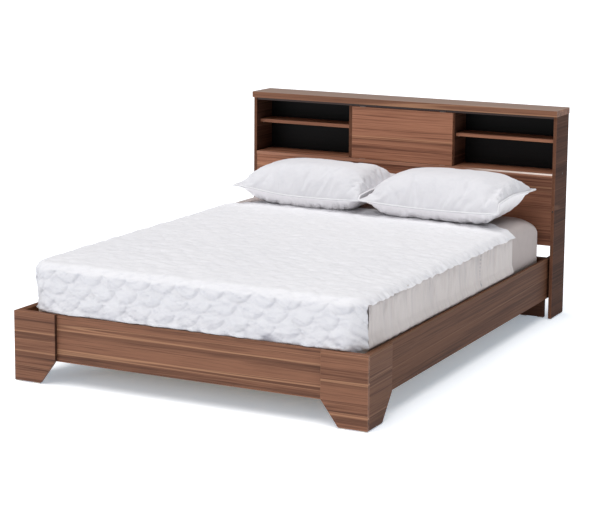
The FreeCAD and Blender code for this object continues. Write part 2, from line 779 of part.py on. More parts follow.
def floor_glides():
    """Nail-on strips under every board and post that stands on the floor."""
    margin = (size.board - size.glide_width) / 2
    near = size.glide_inset
    far = size.glide_inset + size.glide_length
    leg_far = size.leg_foot_width - size.glide_inset
    side_leg_far = size.side_leg_foot_width - size.glide_inset
    foot_row = foot_face + margin
    head_row = head_face + size.board + margin
    spots = [((size.glide_length / -2, start + (size.post - size.glide_width) / 2), "x")
             for start in post_places()]
    for word, side in SIDES:
        for outer, row in ((frame_half, foot_row), (rail_inner, head_row)):
            for inset in (near, leg_far - size.glide_length):
                reach = outer - inset
                spots.append(((low_side(side, reach - size.glide_length, reach), row), "x"))
        side_row = low_side(side, rail_outer + margin, frame_half - margin)
        spots.append(((side_row, foot_face + side_leg_far - size.glide_length), "y"))
        panel_row = low_side(side, panel_inner + margin, panel_outer - margin)
        for start in (head_face + near, head_back - far):
            spots.append(((panel_row, start), "y"))
    glides = []
    for (x, y), along in spots:
        lengths = (size.glide_length, size.glide_width)
        width, depth = lengths if along == "x" else lengths[::-1]
        glides.append(solid_box(f"Glide{len(glides)}", (x, y, ZERO), width, depth,
                                size.glide_height))
    group("floor_glides", glides)


def leg_screws():
    """Screws from inside the rails into the leg boards."""
    screws = []
    reach = size.board + size.screw_grip

    def add(start, axis, towards):
        screws.append(screw(f"LegScrew{len(screws)}", start, axis, towards,
                            size.screw_head, size.screw_head_height, size.screw_shank,
                            reach))

    for word, side in SIDES:
        for level in SCREW_HEIGHTS:
            add((foot_screw * side, foot_inner, level), "y", -1)
            add((rail_inner * side, side_screw, level), "x", side)
            add((head_screw * side, head_face, level), "y", 1)
    group("leg_screws", screws)


def headboard_bolts():
    """Bolts from inside the rails, through the spacers, into the headboard's sides."""
    reach = panel_inner + size.bolt_grip - rail_inner
    bolts = []
    for word, side in SIDES:
        for row, level in enumerate(BOLT_HEIGHTS):
            start = (rail_inner * side, head_face + size.bolt_setback, level)
            bolts.append(screw(f"Bolt{word}{row}", start, "x", side, size.bolt_head,
                               size.bolt_head_height, size.bolt_shank, reach))
    group("headboard_bolts", bolts)


# Bedding

def rounded_rectangle(half_width, low, high, radius, level):
    """A closed outline of four lines and four quarter arcs at one height."""
    x = half_width - radius
    y = (high - low) / 2 - radius
    middle = (high + low) / 2
    diagonal = radius * 0.5 ** 0.5
    corners = ((x, y, 1, 1), (-x, y, -1, 1), (-x, -y, -1, -1), (x, -y, 1, -1))
    arcs = []
    for across, along, sx, sy in corners:
        ends = (Vector(across + sx * radius, middle + along, level),
                Vector(across, middle + along + sy * radius, level))
        if sx * sy < 0:
            ends = ends[::-1]
        bend = Vector(across + sx * diagonal, middle + along + sy * diagonal, level)
        arcs.append((ends[0], bend, ends[1]))
    edges = []
    for index, (start, bend, end) in enumerate(arcs):
        edges.append(Part.Arc(start, bend, end).toShape())
        edges.append(Part.LineSegment(end, arcs[(index + 1) % 4][0]).toShape())
    return Part.Wire(edges)


def mattress_form(grown):
    """The mattress's outer form, grown outwards by a distance."""
    bottom = size.slat_top.value + size.soft_gap.value
    edge = size.mattress_edge.value + grown
    half = size.mattress_width.value / 2 + grown
    high = head_face.value - size.mattress_head_gap.value + grown
    low = foot_inner.value + size.mattress_foot_gap.value - grown
    radius = size.mattress_corner.value + grown
    shoulder = size.mattress_shoulder.value
    sections = []
    for height, inset, draw in zip(SIDE_HEIGHT_SHARES, SIDE_INSET_SHARES,
                                   SIDE_DRAW_SHARES):
        inward = shoulder * inset + size.mattress_draw.value * draw
        level = bottom + (edge - bottom) * height
        sections.append((inward, level))
    for rise, inset in zip(CROWN_RISE_SHARES, CROWN_INSET_SHARES):
        inward = shoulder + (half - radius) * inset
        sections.append((inward, edge + size.mattress_crown.value * rise))
    wires = [rounded_rectangle(half - inward, low + inward, high - inward,
                               max(radius - inward, shoulder), level)
             for inward, level in sections]
    return Part.makeLoft(wires, True, True)


def soft_piece(label, shape, placement):
    feature = doc.addObject("Part::Feature", label)
    feature.Label = label
    feature.Shape = shape
    feature.Placement = placement
    return feature


def mattress():
    soft_piece("mattress", mattress_form(0), Placement())


def quilted_cover():
    """A fitted quilted cover: top, foot end and both sides, open at the foot's corners."""
    inner = mattress_form(size.cover_gap.value)
    outer = mattress_form(size.cover_gap.value + size.cover_thickness.value)
    bounds = outer.BoundBox
    hem = rail_top.value - size.cover_hem.value
    head = head_face.value - size.cover_head.value
    keep = Part.makeBox(bounds.XLength, head - bounds.YMin, bounds.ZMax - hem,
                        Vector(bounds.XMin, bounds.YMin, hem))
    cover = outer.cut(inner).common(keep)
    slit = Part.makeBox(bounds.XLength, size.cover_slit.value,
                        size.mattress_edge.value - size.mattress_shoulder.value - hem,
                        Vector(bounds.XMin, bounds.YMin + size.cover_slit_setback.value,
                               hem))
    soft_piece("quilted_cover", cover.cut(slit), Placement())


def pillow_section(x, half, top, belly):
    """One upright section: seams front and rear, crown above, flattened belly below."""
    seam = size.pillow_seam.value / 2
    flat = half * BELLY_FLAT_SHARE
    front_low, front_high = Vector(x, -half, -seam), Vector(x, -half, seam)
    rear_low, rear_high = Vector(x, half, -seam), Vector(x, half, seam)
    flat_front, flat_rear = Vector(x, -flat, -belly), Vector(x, flat, -belly)
    return Part.Wire([
        Part.LineSegment(front_low, front_high).toShape(),
        Part.Arc(front_high, Vector(x, 0, top), rear_high).toShape(),
        Part.LineSegment(rear_high, rear_low).toShape(),
        Part.LineSegment(rear_low, flat_rear).toShape(),
        Part.LineSegment(flat_rear, flat_front).toShape(),
        Part.LineSegment(flat_front, front_low).toShape(),
    ])


def pillow_form(width, depth):
    """A filled pillow that thins to a flat seamed border, with drawn-in long sides."""
    seam = size.pillow_seam.value / 2
    stations = list(zip(PILLOW_STATION_SHARES, PILLOW_DEPTH_SHARES, PILLOW_RISE_SHARES))
    mirrored = [(-share, reach, rise) for share, reach, rise in reversed(stations)]
    wires = []
    for share, reach, rise in mirrored + stations:
        top = seam + rise * (size.pillow_top.value - seam)
        belly = seam + rise * (size.pillow_bottom.value - seam)
        wires.append(pillow_section(share * width / 2, reach * depth / 2, top, belly))
    return Part.makeLoft(wires, True, True)


def settled(form, below):
    """Lower a soft form until it is just clear of what it lies on."""
    for _ in range(SETTLING_STEPS):
        drop = min(form.distToShape(piece)[0] for piece in below)
        form.translate(Vector(0, 0, size.soft_gap.value - drop))
    return form


def pillows():
    """Two pillows side by side at the head, tipped up a little towards the headboard."""
    below = [doc.getObject(name).Shape for name in ("mattress", "quilted_cover")]
    lift = size.mattress_edge + size.mattress_crown + size.pillow_bottom * 2
    for word, side in SIDES:
        width, depth, spread, setback = (getattr(size, f"{word}_pillow_{what}").value
                                         for what in ("width", "depth", "spread", "setback"))
        form = pillow_form(width, depth)
        form.Placement = Placement(
            Vector(side * spread, head_face.value - setback, lift.value),
            Rotation(PILLOW_TURNS[word], 0, PILLOW_TILT))
        form = settled(form, below)
        soft_piece(f"pillow_{word}", form, form.Placement)


# Build, check and write

def build():
    headboard_cap()
    headboard_sides()
    bottom_shelf()
    lower_front_panel()
    dividers()
    mid_shelves()
    back_panel()
    shelf_pins()
    shelf_screws()
    door_track("upper_door_track", door_middle, cap_under - size.upper_track_height,
               size.upper_track_width, size.upper_track_height, size.upper_slot, False)
    door_track("lower_door_track", door_middle, shelf_top - size.lower_track_height,
               size.lower_track_width, size.lower_track_height, size.lower_slot, True)
    sliding_door()
    door_shoes()
    foot_leg_fronts()
    foot_leg_sides()
    foot_rail()
    side_rails()
    head_rail()
    head_legs()
    rail_spacers()
    corner_blocks()
    side_cleats()
    slats()
    centre_beam()
    beam_hangers()
    centre_legs()
    floor_glides()
    leg_screws()
    headboard_bolts()
    mattress()
    quilted_cover()
    pillows()
    doc.recompute()


def nodes():
    """The finished pieces: everything that no other shape uses."""
    kinds = ("PartDesign::Body", "Part::Compound", "Part::Feature")
    return [item for item in doc.Objects if item.TypeId in kinds]


def check():
    """Stop if any object failed, any piece is unsound or any cut missed its board."""
    for item in doc.Objects:
        if "Invalid" in item.State or "Error" in item.State:
            raise RuntimeError(f"{item.Label} did not compute: {item.State}")
    for pocket in doc.findObjects("PartDesign::Pocket"):
        if pocket.Shape.Volume >= pocket.BaseFeature.Shape.Volume:
            raise RuntimeError(f"{pocket.Label} removes nothing")
    for node in nodes():
        if node.Shape.isNull() or not node.Shape.isValid() or not node.Shape.Solids:
            raise RuntimeError(f"{node.Label} has no sound solid")


def write():
    os.makedirs("parts", exist_ok=True)
    for node in nodes():
        node.Shape.exportStep(os.path.join("parts", f"{node.Label}.step"))
        print(f"{node.Label}: {len(node.Shape.Solids)} solids")


build()
check()
write()
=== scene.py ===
import math

import bpy
import numpy as np
from mathutils import Matrix, Vector


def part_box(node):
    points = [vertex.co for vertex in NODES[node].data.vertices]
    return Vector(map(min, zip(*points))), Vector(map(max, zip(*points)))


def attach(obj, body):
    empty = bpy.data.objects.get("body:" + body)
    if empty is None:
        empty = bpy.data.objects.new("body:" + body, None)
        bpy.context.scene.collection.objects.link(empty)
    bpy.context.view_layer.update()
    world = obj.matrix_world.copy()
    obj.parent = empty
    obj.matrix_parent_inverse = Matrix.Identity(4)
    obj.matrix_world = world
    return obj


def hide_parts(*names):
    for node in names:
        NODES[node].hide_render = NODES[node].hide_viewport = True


# Storage bed. The frame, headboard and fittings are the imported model's own pieces, finished
# here; the mattress in its fitted sheet, the quilted cover and the pillows are made here.
# Lengths are in metres. The headboard stands at +Y and the floor is at Z = 0.

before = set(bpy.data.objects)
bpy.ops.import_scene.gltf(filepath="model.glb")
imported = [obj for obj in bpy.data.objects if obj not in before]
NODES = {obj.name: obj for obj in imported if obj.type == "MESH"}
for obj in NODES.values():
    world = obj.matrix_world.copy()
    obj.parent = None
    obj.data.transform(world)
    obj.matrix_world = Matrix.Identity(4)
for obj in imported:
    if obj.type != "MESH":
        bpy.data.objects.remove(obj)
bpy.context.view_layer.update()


# The photograph's viewpoint

VIEW_ANGLES = (24.359, -9.306, 0.8795)  # yaw, pitch and roll in degrees
VIEW_PLACE = (3.49003, -6.97152, 1.98087)
SENSOR, LENS = 36, 106.259  # millimetres
LENS_SHIFT = (-0.13465, -0.11245)
FARTHEST = 400


def camera():
    """A camera that sees the bed as the photograph does."""
    yaw, pitch, roll = (math.radians(angle) for angle in VIEW_ANGLES)
    ahead = Vector((-math.sin(yaw) * math.cos(pitch), math.cos(yaw) * math.cos(pitch),
                    math.sin(pitch)))
    level = Vector((math.cos(yaw), math.sin(yaw), 0))
    upright = level.cross(ahead)
    right = level * math.cos(roll) + upright * math.sin(roll)
    up = upright * math.cos(roll) - level * math.sin(roll)
    turn = Matrix((right, up, -ahead)).transposed().to_4x4()
    bpy.ops.object.camera_add()
    seen = bpy.context.object
    seen.name = "viewpoint"
    seen.matrix_world = Matrix.Translation(VIEW_PLACE) @ turn
    seen.data.sensor_fit = "HORIZONTAL"
    seen.data.sensor_width = SENSOR
    seen.data.lens = LENS
    seen.data.shift_x, seen.data.shift_y = LENS_SHIFT
    seen.data.clip_end = FARTHEST
    bpy.context.scene.camera = seen


# Node trees written as Python expressions

class Tone:
    """One socket of a node tree, with arithmetic."""

    def __init__(self, finish, socket):
        self.finish = finish
        self.socket = socket

    def maths(self, operation, *values):
        return self.finish.node("ShaderNodeMath", {"operation": operation},
                                dict(enumerate(values)))

    def __add__(self, other):
        return self.maths("ADD", self, other)

    __radd__ = __add__

    def __sub__(self, other):
        return self.maths("SUBTRACT", self, other)

    def __rsub__(self, other):
        return self.maths("SUBTRACT", other, self)

    def __mul__(self, other):
        return self.maths("MULTIPLY", self, other)

    __rmul__ = __mul__

    def __abs__(self):
        return self.maths("ABSOLUTE", self)

    def least(self, other):
        return self.maths("MINIMUM", self, other)

    def most(self, other):
        return self.maths("MAXIMUM", self, other)

    def rise(self, low, high):
        """0 below low and 1 above high, smoothly between them."""
        return self.finish.node("ShaderNodeMapRange", {"interpolation_type": "SMOOTHSTEP"},
                                {"Value": self, "From Min": low, "From Max": high})


class Finish:
    """A procedural material."""

    def __init__(self, name):
        self.material = bpy.data.materials.new(name)
        self.material.use_nodes = True
        self.tree = self.material.node_tree
        self.tree.nodes.clear()

    def node(self, kind, settings=None, sockets=None, out=0):
        """Any node: its settings, what its inputs get, and which output counts."""
        made = self.tree.nodes.new(kind)
        for key, value in (settings or {}).items():
            if key == "stops":
                ramp = made.color_ramp
                while len(ramp.elements) < len(value):
                    ramp.elements.new(0.5)
                for element, (at, colour) in zip(ramp.elements, value):
                    element.position = at
                    element.color = (*colour, 1)
            else:
                setattr(made, key, value)
        for key, value in (sockets or {}).items():
            if isinstance(value, Tone):
                self.tree.links.new(value.socket, made.inputs[key])
            elif hasattr(value, "__len__") and made.inputs[key].type == "RGBA":
                made.inputs[key].default_value = (*value, 1)
            else:
                made.inputs[key].default_value = value
        return Tone(self, made.outputs[out]) if made.outputs else None

    def place(self, stretch=(1, 1, 1), shift=(0, 0, 0)):
        """Object coordinates, stretched and shifted."""
        spot = self.node("ShaderNodeTexCoord", out="Object")
        return self.node("ShaderNodeMapping", {},
                         {"Vector": spot, "Location": shift, "Scale": stretch})

    def parts(self):
        """Object coordinates, each by itself."""
        spot = self.node("ShaderNodeTexCoord", out="Object")
        return [self.node("ShaderNodeSeparateXYZ", {}, {"Vector": spot}, name)
                for name in "XYZ"]

    def stored(self, label):
        """The number that a piece keeps at each of its points."""
        return self.node("ShaderNodeAttribute", {"attribute_name": label}, out="Fac")

    def cloud(self, where, scale=1.0, detail=2.0, roughness=0.5, distortion=0.0):
        return self.node("ShaderNodeTexNoise", {}, {
            "Vector": where, "Scale": scale, "Detail": detail, "Roughness": roughness,
            "Distortion": distortion}, "Fac")

    def graded(self, stops, share):
        """Colour that runs through stops, each a place from 0 to 1 and a colour."""
        return self.node("ShaderNodeValToRGB", {"stops": stops}, {"Fac": share}, "Color")

    def blend(self, share, first, second, how="MIX"):
        return self.node("ShaderNodeMix", {"data_type": "RGBA", "blend_type": how},
                         {"Factor": share, "A": first, "B": second}, "Result")

    def bump(self, height, strength, distance):
        return self.node("ShaderNodeBump", {}, {
            "Height": height, "Strength": strength, "Distance": distance})

    def surface(self, sockets):
        shader = self.node("ShaderNodeBsdfPrincipled", {}, sockets)
        self.node("ShaderNodeOutputMaterial", {}, {"Surface": shader})
        return self.material


def tint(red, green, blue):
    """A screen colour, 0 to 255, as the light it stands for."""
    return tuple(((part / 255 + 0.055) / 1.055) ** 2.4 if part > 10 else part / 3295
                 for part in (red, green, blue))


# Walnut laminate: dark, middle, light and pale tones, in lighter and darker copies for boards
# that face the light in different ways: painted light and painted shade

WALNUT = {
    "front": (tint(70, 43, 32), tint(111, 74, 56), tint(142, 98, 75), tint(188, 142, 108)),
    "head": (tint(92, 56, 42), tint(142, 93, 71), tint(179, 123, 95), tint(214, 159, 121)),
    "side": (tint(75, 49, 37), tint(98, 66, 50), tint(117, 82, 62), tint(150, 111, 87)),
    "rail": (tint(70, 44, 32), tint(91, 60, 44), tint(109, 75, 56), tint(146, 107, 83)),
    "shade": (tint(53, 34, 26), tint(71, 47, 37), tint(87, 59, 47), tint(118, 85, 69)),
}
GLOSS = {"front": 0.2, "head": 0.2, "side": 0.08, "rail": 0.06, "shade": 0.02}
# Colours of painted light: a painted highlight for lit edges, a painted sheen for upper
# faces, painted shade for an edge face turned from the light, and painted shade with a darker
# run of grain behind the right pillow
LIT_EDGE = tint(255, 238, 226)
LIT_UPPER_FACE = tint(160, 146, 138)
SHADED_EDGE_FACE = tint(46, 26, 18)
PILLOW_SHADE_AND_DARK_GRAIN = (0.52, 0.50, 0.50)


def walnut(board, along, seed, tones, lines):
    """Laminate with grain along one axis of this board, and a painted highlight along its
    edges.
    """
    finish = Finish(f"walnut_{board}")
    axis = "XYZ".index(along)

    def stretched(run, across):
        return finish.place([run if part == axis else across for part in range(3)],
                            [seed * 3.7 + part * 1.3 for part in range(3)])

    drift = finish.cloud(stretched(0.9, 6), detail=1)
    broad = finish.cloud(stretched(0.35, 21), detail=2, distortion=0.12)
    streak = finish.cloud(stretched(0.9, 105), detail=3, roughness=0.66, distortion=0.1)
    fibre = finish.cloud(stretched(5, 330), detail=2, roughness=0.6)
    dark, middle, light, pale = WALNUT[tones]
    colour = finish.graded(((0.37, dark), (0.46, middle), (0.53, light), (0.63, middle)),
                           0.36 * broad + 0.42 * streak + 0.22 * fibre)
    ring = abs(finish.cloud(stretched(0.16, 16), detail=0) - 0.60)
    vein = 1 - ring.rise(0.0, 0.010)
    parts = finish.parts()
    # Pale lines in the grain, each with a band of painted shadow just below it
    for height in lines:
        gap = abs(parts[2] + 0.02 * (drift - 0.5) - height)
        vein = vein.most(1 - gap.rise(0.0012, 0.0042))
        below = (height - parts[2]) * 30
        shadow = below.rise(0.0, 0.25) * (1 - below.rise(0.3, 1.0))
        colour = finish.blend(shadow * 0.4, colour, dark)
    colour = finish.blend(vein * 0.55, colour, pale)
    first, second, third = [(part - start).least(end - part)
                            for part, start, end in zip(parts, *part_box(board))]
    edge = first.least(second).most(first.most(second).least(third))
    # Painted highlight along the board's edges, stronger along the light streaks
    edge_highlight = 1 - edge.rise(0.0004, 0.0016)
    colour = finish.blend(edge_highlight * (0.15 + 0.45 * streak), colour, pale)
    return finish.surface({
        "Base Color": own_light(finish, board, parts, colour, dark),
        "Roughness": 0.46 + 0.12 * streak,
        "Specular IOR Level": GLOSS[tones],
        "Normal": finish.bump(fibre, 0.12, 0.0004),
    })


def own_light(finish, board, parts, colour, dark):
    """Light and shade that the photograph shows on single boards."""
    x, y, z = parts
    low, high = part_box(board)
    # Painted highlight on the shelf's front edge, bright in the right bay
    if board == "bottom_shelf":
        front = 1 - y.rise(low.y + 0.0004, low.y + 0.0012)
        right_bay = x.rise(0.33, 0.50) * z.rise(high.z - 0.009, high.z - 0.007)
        return finish.blend(front * (0.04 + 0.96 * right_bay), colour, LIT_EDGE)
    # Painted light on the front edges of the headboard sides, dividers and middle shelves
    if board.startswith(("headboard_side", "divider", "mid_shelf")):
        front = 1 - y.rise(low.y + 0.0010, low.y + 0.0018)
        return finish.blend(front * 0.22, colour, WALNUT["head"][2])
    # Painted sheen on the cap's upper face
    if board == "headboard_cap":
        upper = z.rise(high.z - 0.0018, high.z - 0.0010)
        return finish.blend(upper * 0.62, colour, LIT_UPPER_FACE)
    # Painted shade: the whole leg a little darker, and its inner edge face dark
    if board == "foot_leg_front_left":
        inner = x.rise(high.x - 0.0014, high.x - 0.0006)
        return finish.blend(inner * 0.8, finish.blend(0.12, colour, dark), SHADED_EDGE_FACE)
    # Darker towards its right end behind the right pillow: painted shade and a darker run of
    # grain
    if board == "lower_front_panel":
        return finish.blend(x.rise(0.50, 0.74), colour, PILLOW_SHADE_AND_DARK_GRAIN, "MULTIPLY")
    return colour


def plain_board(name, stops, along, rough, shine=0.4, run=2.0, across=70):
    """A streaked board: solid pine, or the dark back board."""
    finish = Finish(name)
    axis = "XYZ".index(along)
    streak = finish.cloud(finish.place([run if part == axis else across
                                        for part in range(3)]), detail=4, roughness=0.6)
    return finish.surface({
        "Base Color": finish.graded(stops, streak),
        "Roughness": rough + 0.15 * streak,
        "Specular IOR Level": shine,
        "Normal": finish.bump(streak, 0.2, 0.0006),
    })


def moulded(name, colour, rough, metallic=0.0):
    """Fine-grained metal or plastic."""
    finish = Finish(name)
    grain = finish.cloud(finish.place(), scale=900, detail=2)
    patch = finish.cloud(finish.place(), scale=45, detail=1)
    return finish.surface({
        "Base Color": finish.blend(0.35 * patch, colour, [part * 0.7 for part in colour]),
        "Roughness": rough + 0.16 * grain,
        "Metallic": metallic,
        "Normal": finish.bump(grain, 0.15, 0.0003),
    })


def cotton(name, colour, shadow, crinkle, stretch, pillow=False, sewn=False):
    """White bed linen: plain weave, soft creases, and a cool painted shade in its hollows and
    in random patches.
    """
    finish = Finish(name)
    warp = finish.cloud(finish.place((1500, 300, 1500)), detail=1)
    weft = finish.cloud(finish.place((300, 1500, 300)), detail=1)
    folds = finish.cloud(finish.place(stretch), detail=4, roughness=0.6, distortion=0.5)
    patch = finish.cloud(finish.place((3, 3, 3)), detail=2)
    woven = finish.bump(warp + weft, 0.2, 0.0004)
    creased = finish.node("ShaderNodeBump", {}, {
        "Height": folds, "Strength": crinkle, "Distance": 0.004, "Normal": woven})
    # Painted shade: the cool shadow colour in the creases' hollows, and in random patches
    shade = finish.blend(0.3 * patch + 0.45 * (1 - folds).rise(0.45, 0.75), colour, shadow)
    # Painted shade kept on the quilted cover and its ribbed sides, with the ribbed sides'
    # dark stitches
    if sewn:
        shade = finish.blend(0.75 * finish.stored("hollow"), shade, tint(150, 150, 162))
    if pillow:
        # Painted light: the pillow's lower panel is lighter than its upper one, and its piped
        # seam has a painted highlight
        panel = finish.stored("panel")
        shade = finish.blend(1 - panel.rise(-0.5, 0.1), shade, tint(255, 253, 255))
        welt = 1 - abs(panel).rise(0.05, 0.35)
        shade = finish.blend(0.32 * welt, shade, tint(255, 255, 255))
    return finish.surface({
        "Base Color": shade,
        "Roughness": 0.86 + 0.08 * warp,
        "Sheen Weight": 0.2,
        "Sheen Roughness": 0.5,
        "Specular IOR Level": 0.2,
        "Normal": creased,
    })


# Board, direction of its grain, number of its figure, tones of painted light and shade,
# heights of its pale lines, each with a painted shadow below it

BOARDS = (
    ("foot_rail", "X", 1, "front", (0.236, 0.151)),
    ("foot_leg_front_left", "X", 2, "front", (0.215, 0.132)),
    ("foot_leg_front_right", "X", 3, "front", (0.187, 0.052)),
    ("foot_leg_side_left", "Y", 4, "side", ()),
    ("foot_leg_side_right", "Y", 5, "side", (0.205, 0.06)),
    ("side_rail_left", "Y", 6, "rail", ()),
    ("side_rail_right", "Y", 7, "rail", ()),
    ("rail_spacer_left", "Y", 8, "shade", ()),
    ("rail_spacer_right", "Y", 9, "shade", ()),
    ("head_rail", "X", 10, "shade", ()),
    ("head_leg_left", "X", 11, "shade", ()),
    ("head_leg_right", "X", 12, "shade", ()),
    ("headboard_side_left", "Y", 13, "shade", ()),
    ("headboard_side_right", "Y", 14, "shade", ()),
    ("headboard_cap", "X", 15, "front", ()),
    ("bottom_shelf", "X", 16, "head", ()),
    ("lower_front_panel", "X", 17, "head", (0.64,)),
    ("divider_left", "Y", 18, "shade", ()),
    ("divider_right", "Y", 19, "shade", ()),
    ("mid_shelf_left", "X", 20, "head", ()),
    ("mid_shelf_right", "X", 21, "head", ()),
    ("sliding_door", "X", 22, "head", (0.821,)),
)
PINE = ((0.3, tint(206, 170, 118)), (0.55, tint(224, 192, 142)), (0.8, tint(190, 148, 98)))
BLACK = ((0.35, tint(9, 8, 9)), (0.6, tint(15, 13, 13)), (0.8, tint(7, 7, 8)))


def finishes():
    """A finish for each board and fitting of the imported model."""
    def dress(material, *names):
        for name in names:
            slots = NODES[name].data.materials
            slots.clear()
            slots.append(material)

    for board, along, seed, tones, lines in BOARDS:
        dress(walnut(board, along, seed, tones, lines), board)
    dress(plain_board("pine_across", PINE, "X", 0.55),
          *(name for name in NODES if name.startswith("slat_")))
    dress(plain_board("pine_lengthwise", PINE, "Y", 0.55), "centre_beam", "side_cleat_left",
          "side_cleat_right")
    dress(plain_board("pine_upright", PINE, "Z", 0.6), "centre_leg_1", "centre_leg_2",
          "centre_leg_3", "corner_block_left", "corner_block_right")
    dress(plain_board("black_back_board", BLACK, "X", 0.45, shine=0.15, run=3, across=240),
          "back_panel")
    dress(moulded("dark_track_plastic", tint(58, 34, 26), 0.38), "upper_door_track",
          "lower_door_track")
    dress(moulded("nylon", tint(226, 222, 214), 0.42), "door_top_guides",
          "door_bottom_glides", "floor_glides")
    dress(moulded("zinc_plated_steel", tint(186, 188, 190), 0.3, 1.0), "beam_hangers",
          "shelf_pins")
    dress(moulded("darkened_screw_steel", tint(70, 66, 62), 0.36, 1.0), "leg_screws",
          "headboard_bolts", "shelf_screws")


# Selection, and points read and moved as arrays

def nothing_selected():
    if bpy.context.object and bpy.context.object.mode != "OBJECT":
        bpy.ops.object.mode_set(mode="OBJECT")
    bpy.ops.object.select_all(action="DESELECT")


def only(piece):
    nothing_selected()
    piece.select_set(True)
    bpy.context.view_layer.objects.active = piece


def rows(items, label, width):
    """One property of each item, as rows of numbers."""
    values = np.zeros(len(items) * width, np.float32)
    items.foreach_get(label, values)
    return values.reshape(-1, width).astype(float)


def spots(piece):
    return rows(piece.data.vertices, "co", 3)


def facings(piece):
    return rows(piece.data.vertices, "normal", 3)


def put(piece, places):
    piece.data.vertices.foreach_set("co", places.astype(np.float32).ravel())
    piece.data.update()


def keep(piece, label, values):
    """Store one number for each point, for the piece's finish to read."""
    kept = piece.data.attributes.new(label, "FLOAT", "POINT")
    kept.data.foreach_set("value", values.astype(np.float32))


def kept_values(piece, label):
    return rows(piece.data.attributes[label].data, "value", 1)[:, 0]


def pair(u, v):
    return np.stack([u, v], 1)


def ramp(value, low, high):
    """0 below low and 1 above high, smoothly between them."""
    share = np.clip((value - low) / (high - low), 0, 1)
    return share * share * (3 - 2 * share)


def bell(value, width):
    return np.exp(-(value / width) ** 2)


def ripple(points, size, seed):
    """Smooth noise from -1 to 1 over points, one wave about every size."""
    grid = points / np.asarray(size, float)
    cell = np.floor(grid).astype(np.int64)
    part = grid - cell
    part = part * part * (3 - 2 * part)
    total = np.zeros(len(points))
    for corner in np.array(((0, 0), (1, 0), (0, 1), (1, 1))):
        u, v = (cell + corner).T
        code = (seed * 7919 + 13) ^ u * 73856093 ^ v * 19349663
        code = (code ^ (code >> 13)) * 1274126177 & 0x7FFFFFFF
        value = (code ^ (code >> 16)) % 65536 / 32768.0 - 1
        total += value * np.prod(np.where(corner == 1, part, 1 - part), axis=1)
    return total


def crease(points, size, lean, seed):
    """Sharp little folds: ridges of noise that lean by an angle."""
    turn = math.radians(lean)
    u, v = points.T
    leaning = pair(u * math.cos(turn) + v * math.sin(turn),
                   v * math.cos(turn) - u * math.sin(turn))
    return (1 - np.abs(ripple(leaning, size, seed))) ** 3


# Cuts and finishing steps that several pieces share

def refine(piece, voxel):
    """Even, closed skin of small squares over a piece."""
    only(piece)
    piece.data.remesh_voxel_size = voxel
    bpy.ops.object.voxel_remesh()


def cut_at(piece, where, facing, beyond=None):
    """Cut along a plane; faces on its facing side, or past the test, are taken away."""
    only(piece)
    bpy.ops.object.mode_set(mode="EDIT")
    bpy.ops.mesh.select_mode(type="FACE")
    bpy.ops.mesh.select_all(action="SELECT")
    bpy.ops.mesh.bisect(plane_co=where, plane_no=facing, clear_outer=beyond is None)
    bpy.ops.object.mode_set(mode="OBJECT")
    if beyond is not None:
        remove_faces(piece, beyond)


def remove_faces(piece, test):
    """Take away the faces whose middle passes the test."""
    centres = rows(piece.data.polygons, "center", 3)
    only(piece)
    bpy.ops.object.mode_set(mode="EDIT")
    bpy.ops.mesh.select_mode(type="FACE")
    bpy.ops.mesh.select_all(action="DESELECT")
    bpy.ops.object.mode_set(mode="OBJECT")
    piece.data.polygons.foreach_set("select", test(*centres.T))
    bpy.ops.object.mode_set(mode="EDIT")
    bpy.ops.mesh.delete(type="FACE")
    bpy.ops.object.mode_set(mode="OBJECT")


def smooth(piece):
    only(piece)
    bpy.ops.object.shade_smooth()


def laid_on(piece, body, node, material):
    """Finish a piece: its material, its body and the node that it stands for."""
    piece.data.materials.clear()
    piece.data.materials.append(material)
    smooth(piece)
    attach(piece, body)
    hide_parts(node)


# Mattress and its quilted cover

MATTRESS_LOW, MATTRESS_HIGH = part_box("mattress")
EDGE = 0.492  # height of the mattress's upper face along its edge
CORNER = 0.08  # radius of its upright corners
SHOULDER = 0.034  # radius round its upper face
HEEL = 0.02  # radius round its underside
FOOT = -1.0913  # the cover's face at the foot
SLIT = FOOT + 0.052  # where its foot panel ends and its ribbed sides begin
HEM = 0.280  # its lower edge, below the rails' upper edge
SEAM = 0.470  # height of the seam between its top and its ribbed sides
SIDE = 0.765  # its sides, from the bed's middle
RAIL_TOP = 0.297
TUCK_FOOT, TUCK_CORNER, TUCK_SIDE = -1.0927, 0.7703, 0.7704  # room between the rails


def mattress_block(name, grown):
    """A block with rounded corners and edges, grown outwards by a distance."""
    low = MATTRESS_LOW - Vector((grown, grown, 0))
    high = Vector((MATTRESS_HIGH.x + grown, MATTRESS_HIGH.y + grown, EDGE + grown))
    nothing_selected()
    bpy.ops.mesh.primitive_cube_add(size=1)
    block = bpy.context.object
    block.name = name
    put(block, np.array([[(low, high)[point.co[axis] > 0][axis] for axis in range(3)]
                         for point in block.data.vertices]))

    def rounded(test, radius, segments):
        bpy.ops.object.mode_set(mode="EDIT")
        bpy.ops.mesh.select_all(action="DESELECT")
        bpy.ops.mesh.select_mode(type="EDGE")
        bpy.ops.object.mode_set(mode="OBJECT")
        for edge in block.data.edges:
            edge.select = test(*(block.data.vertices[end].co.z for end in edge.vertices))
        bpy.ops.object.mode_set(mode="EDIT")
        bpy.ops.mesh.bevel(offset=radius, segments=segments, affect="EDGES")

    def level_at(height):
        return lambda a, b: abs(a - b) < 0.001 and abs(a - height) < 0.001

    rounded(lambda a, b: abs(a - b) > 0.1, CORNER + grown, 10)
    rounded(level_at(high.z), SHOULDER, 8)
    rounded(level_at(low.z), HEEL, 4)
    bpy.ops.object.mode_set(mode="OBJECT")
    return block


